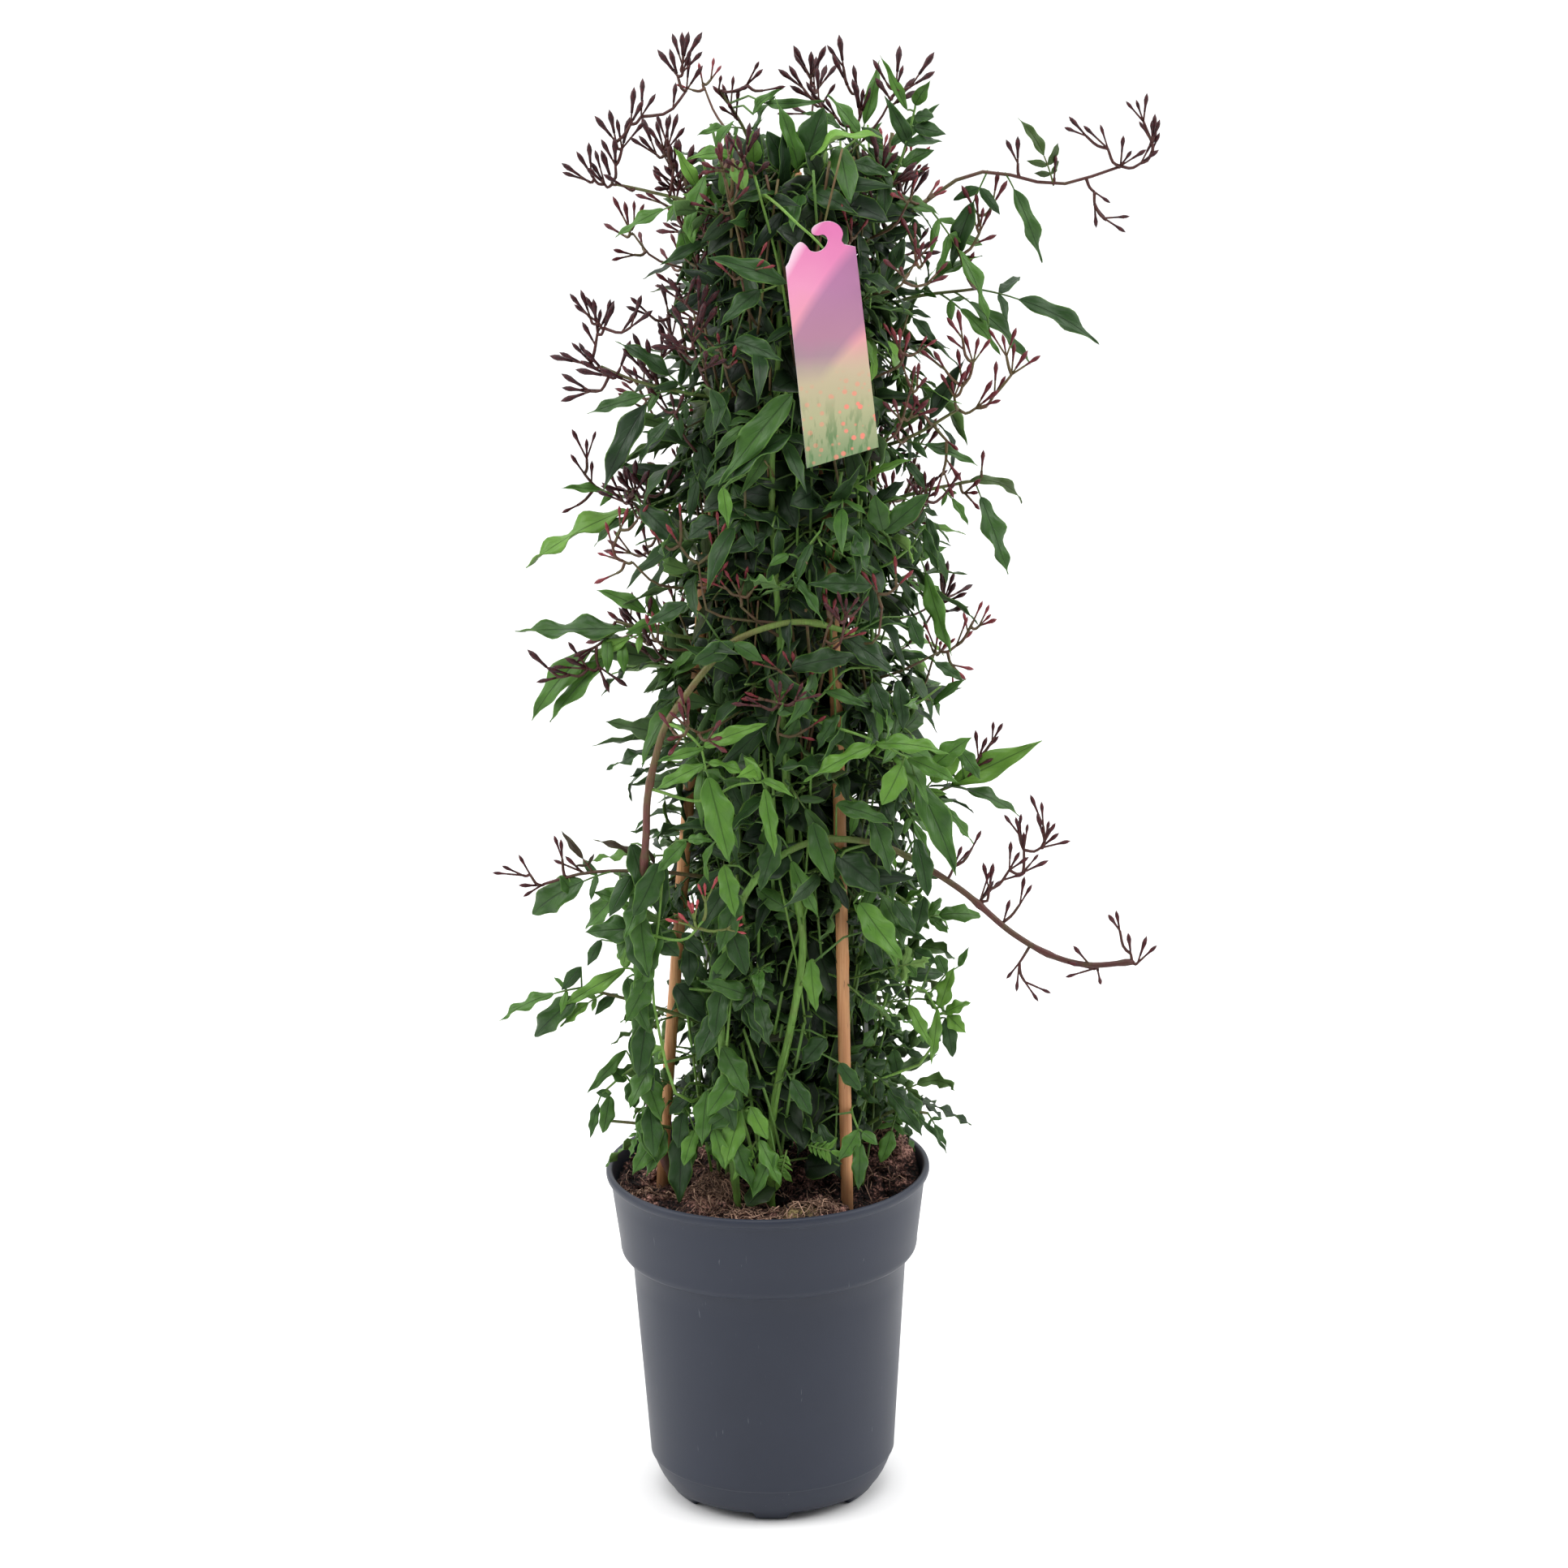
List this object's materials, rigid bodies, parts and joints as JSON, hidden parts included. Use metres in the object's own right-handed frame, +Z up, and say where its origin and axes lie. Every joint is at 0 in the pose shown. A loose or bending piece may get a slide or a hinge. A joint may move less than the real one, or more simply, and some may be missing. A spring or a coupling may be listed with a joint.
{
  "type": "potted pink jasmine",
  "caption": "Climbing jasmine in bud, trained up a pyramid of bamboo canes in a round plastic nursery pot, with a hang tag.",
  "frame": {"origin": "centre of the pot's base, on the plane that the pot stands on", "axes": "+Z up, -Y towards the front where the hang tag faces, +X to the right seen from the front"},
  "size_m": [0.3552, 0.2326, 0.769],
  "materials": {
    "pot_plastic": "satin anthracite grey with fine scuffs",
    "potting_mix": "rough dark peat with brown coir fibres",
    "bamboo": "satin orange tan with fine long grain",
    "tie": "satin green",
    "tag_card": null,
    "green_stem": "satin fresh green bark",
    "dark_stem": "satin purple brown bark",
    "leaf": "satin deep green leaf, paler below",
    "fresh_leaf": "satin bright green young leaf, paler below",
    "bud": "satin dark red purple"
  },
  "bodies": {
    "root": {"pot": "pot_plastic", "potting_mix": "potting_mix", "cane_left": "bamboo", "cane_right": "bamboo", "cane_back": "bamboo", "cane_tie": "tie", "plant_tag": "tag_card", "vine_front": "green_stem", "vine_arch": "dark_stem", "vine_droop": "green_stem", "vine_right": "green_stem", "vine_back_right": "green_stem", "vine_back": "green_stem", "vine_back_left": "green_stem", "vine_left": "green_stem", "buds_top_left": "bud", "buds_top": "bud", "buds_top_right": "bud", "branch_upper_right": "bud", "buds_left_high": "bud", "leaves_left_high": "leaf", "leaves_right_high": "leaf", "buds_right_middle": "bud", "leaves_right_middle": "leaf", "leaves_left_middle": "leaf", "buds_left_low": "bud", "leaves_right_low": "fresh_leaf", "leaves_left_low": "fresh_leaf", "leaves_right_foot": "fresh_leaf", "leaves_left_foot": "fresh_leaf", "shoot_1_1": "fresh_leaf", "shoot_1_2": "fresh_leaf", "shoot_1_3": "fresh_leaf", "shoot_1_4": "fresh_leaf", "shoot_2_1": "fresh_leaf", "shoot_2_2": "fresh_leaf", "shoot_2_3": "fresh_leaf", "shoot_2_4": "fresh_leaf", "shoot_3_1": "leaf", "shoot_3_2": "leaf", "shoot_3_3": "leaf", "shoot_3_4": "leaf", "shoot_4_1": "leaf", "shoot_4_2": "leaf", "shoot_4_3": "leaf", "shoot_4_4": "leaf", "shoot_5_1": "leaf", "shoot_5_2": "leaf", "shoot_5_3": "leaf", "shoot_5_4": "leaf", "shoot_6_1": "leaf", "shoot_6_2": "leaf", "shoot_6_3": "leaf", "shoot_6_4": "leaf", "shoot_7_1": "leaf", "shoot_7_2": "leaf", "shoot_7_3": "leaf", "shoot_7_4": "leaf"}
  },
  "joints": []
}
